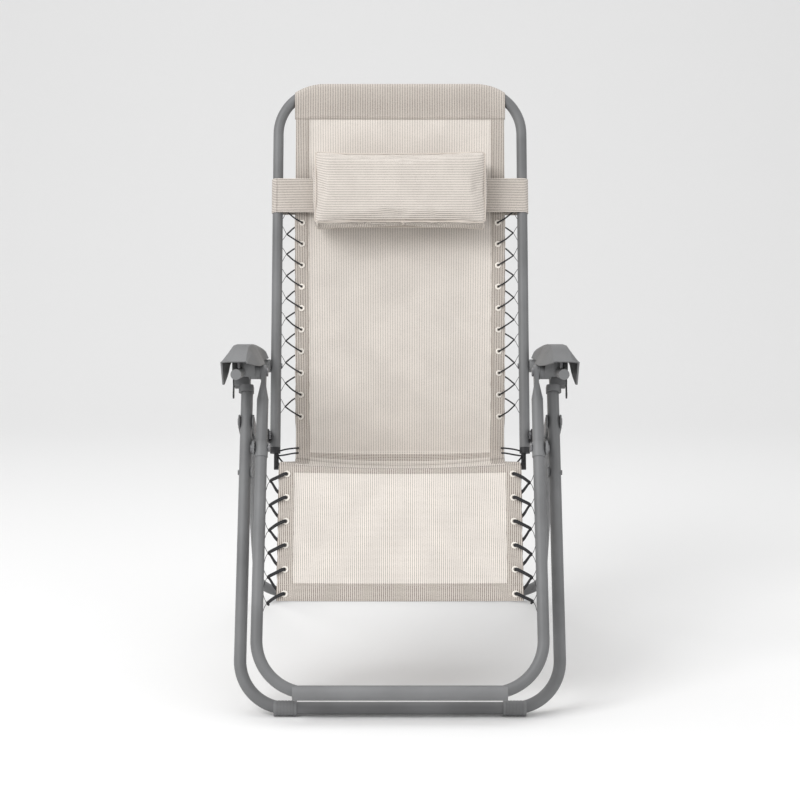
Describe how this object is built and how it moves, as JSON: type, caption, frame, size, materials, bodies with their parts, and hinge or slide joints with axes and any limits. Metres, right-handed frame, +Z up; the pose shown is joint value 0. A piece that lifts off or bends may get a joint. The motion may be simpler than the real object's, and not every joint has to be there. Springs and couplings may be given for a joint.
{
  "type": "zero gravity recliner",
  "caption": "Folding recliner: bent-tube legs and frames on a four-bar linkage, laced mesh sling, armrests and strapped head pillow.",
  "frame": {"origin": "centre of the footprint, on the floor", "axes": "+X to the sitter's left seen from the front as right, +Y from the foot end to the back, +Z up"},
  "size_m": [0.6394, 0.9416, 1.1218],
  "materials": {
    "frame": "matte powder coat",
    "bolt": "dull zinc",
    "grey_plastic": "matte",
    "black_plastic": "matte",
    "mesh": "woven coated mesh with fine stripes",
    "pillow": "woven coated mesh with fine stripes",
    "eyelet": "semi-gloss",
    "cord": "braided cover"
  },
  "bodies": {
    "rear_leg": {"rear_leg_frame": "frame", "rear_foot_left": "grey_plastic", "rear_foot_right": "grey_plastic", "leg_clevis_left": "frame", "leg_clevis_right": "frame", "scissor_bolts": "bolt", "mid_bolts": "bolt"},
    "front_leg": {"front_leg_frame": "frame", "front_foot_left": "grey_plastic", "front_foot_right": "grey_plastic", "leg_cap_left": "grey_plastic", "leg_cap_right": "grey_plastic", "leg_spacers": "grey_plastic", "lever_pins": "bolt"},
    "lock_left": {"lock_lever_left": "black_plastic"},
    "lock_right": {"lock_lever_right": "black_plastic"},
    "seat": {"seat_rail_left": "frame", "seat_rail_right": "frame", "seat_sling": "mesh"},
    "hip_pins": {"hip_bolts": "bolt"},
    "back": {"back_frame": "frame", "hip_bracket_left": "black_plastic", "hip_bracket_right": "black_plastic", "back_sling": "mesh", "back_eyelets": "eyelet", "back_bungee_left": "cord", "back_bungee_right": "cord", "back_cord_left": "cord", "back_cord_right": "cord"},
    "headrest": {"headrest_pillow": "pillow", "headrest_strap": "mesh"},
    "knee_pins": {"knee_bolts": "bolt"},
    "footrest": {"upper_foot_tube_left": "frame", "upper_foot_tube_right": "frame", "foot_frame": "frame", "foot_bar_sleeve": "grey_plastic", "leg_sling": "mesh", "leg_eyelets": "eyelet", "leg_bungee_left": "cord", "leg_bungee_right": "cord", "leg_cord_left": "cord", "leg_cord_right": "cord"},
    "arm_pins": {"arm_rear_bolts": "bolt"},
    "armrests": {"armrest_left": "grey_plastic", "armrest_right": "grey_plastic", "arm_rail_left": "frame", "arm_rail_right": "frame", "arm_barrel_left": "grey_plastic", "arm_barrel_right": "grey_plastic", "arm_front_bolts": "bolt", "arm_rear_bracket_left": "black_plastic", "arm_rear_bracket_right": "black_plastic", "arm_screws": "bolt"}
  },
  "joints": [
    {"name": "legs_fold", "type": "hinge", "parent": "rear_leg", "child": "front_leg", "pos_m": [0, -0.20019, 0.4885], "axis": [1, 0, 0], "range_deg": [0, 66]},
    {"name": "recline", "type": "hinge", "parent": "rear_leg", "child": "seat", "pos_m": [0, -0.11613, 0.43993], "axis": [-1, 0, 0], "range_deg": [0, 24]},
    {"name": "hip_fold", "type": "hinge", "parent": "seat", "child": "hip_pins", "pos_m": [0, 0.02934, 0.4305], "axis": [1, 0, 0], "range_deg": [-1.7, 47.24]},
    {"name": "hip_recline", "type": "hinge", "parent": "hip_pins", "child": "back", "pos_m": [0, 0.02934, 0.4305], "axis": [-1, 0, 0], "range_deg": [-1.7, 25.7]},
    {"name": "knee_fold", "type": "hinge", "parent": "seat", "child": "knee_pins", "pos_m": [0, -0.26366, 0.4495], "axis": [1, 0, 0], "range_deg": [-1.7, 47.24]},
    {"name": "foot_recline", "type": "hinge", "parent": "knee_pins", "child": "footrest", "pos_m": [0, -0.26366, 0.4495], "axis": [-1, 0, 0], "range_deg": [-1.7, 25.7]},
    {"name": "arm_fold", "type": "hinge", "parent": "back", "child": "arm_pins", "pos_m": [0, 0.09334, 0.561], "axis": [1, 0, 0], "range_deg": [-47.24, 1.7]},
    {"name": "arm_recline", "type": "hinge", "parent": "arm_pins", "child": "armrests", "pos_m": [0, 0.09334, 0.561], "axis": [-1, 0, 0], "range_deg": [-25.7, 1.7]},
    {"name": "lock_left", "type": "hinge", "parent": "front_leg", "child": "lock_left", "pos_m": [0, -0.17053, 0.56027], "axis": [1, 0, 0], "range_deg": [0, 35]},
    {"name": "lock_right", "type": "hinge", "parent": "front_leg", "child": "lock_right", "pos_m": [0, -0.17053, 0.56027], "axis": [1, 0, 0], "range_deg": [0, 35]},
    {"name": "headrest_slide", "type": "slide", "parent": "back", "child": "headrest", "axis": [0, 0.2723, 0.9622], "range_m": [-0.22, 0.05]}
  ],
  "couplings": [
    {"joint": "hip_recline", "follows": "recline", "ratio": 1},
    {"joint": "hip_fold", "follows": "legs_fold", "ratio": 0.69},
    {"joint": "knee_fold", "follows": "legs_fold", "ratio": 0.69},
    {"joint": "foot_recline", "follows": "recline", "ratio": 1},
    {"joint": "arm_fold", "follows": "legs_fold", "ratio": -0.69},
    {"joint": "arm_recline", "follows": "recline", "ratio": -1}
  ]
}
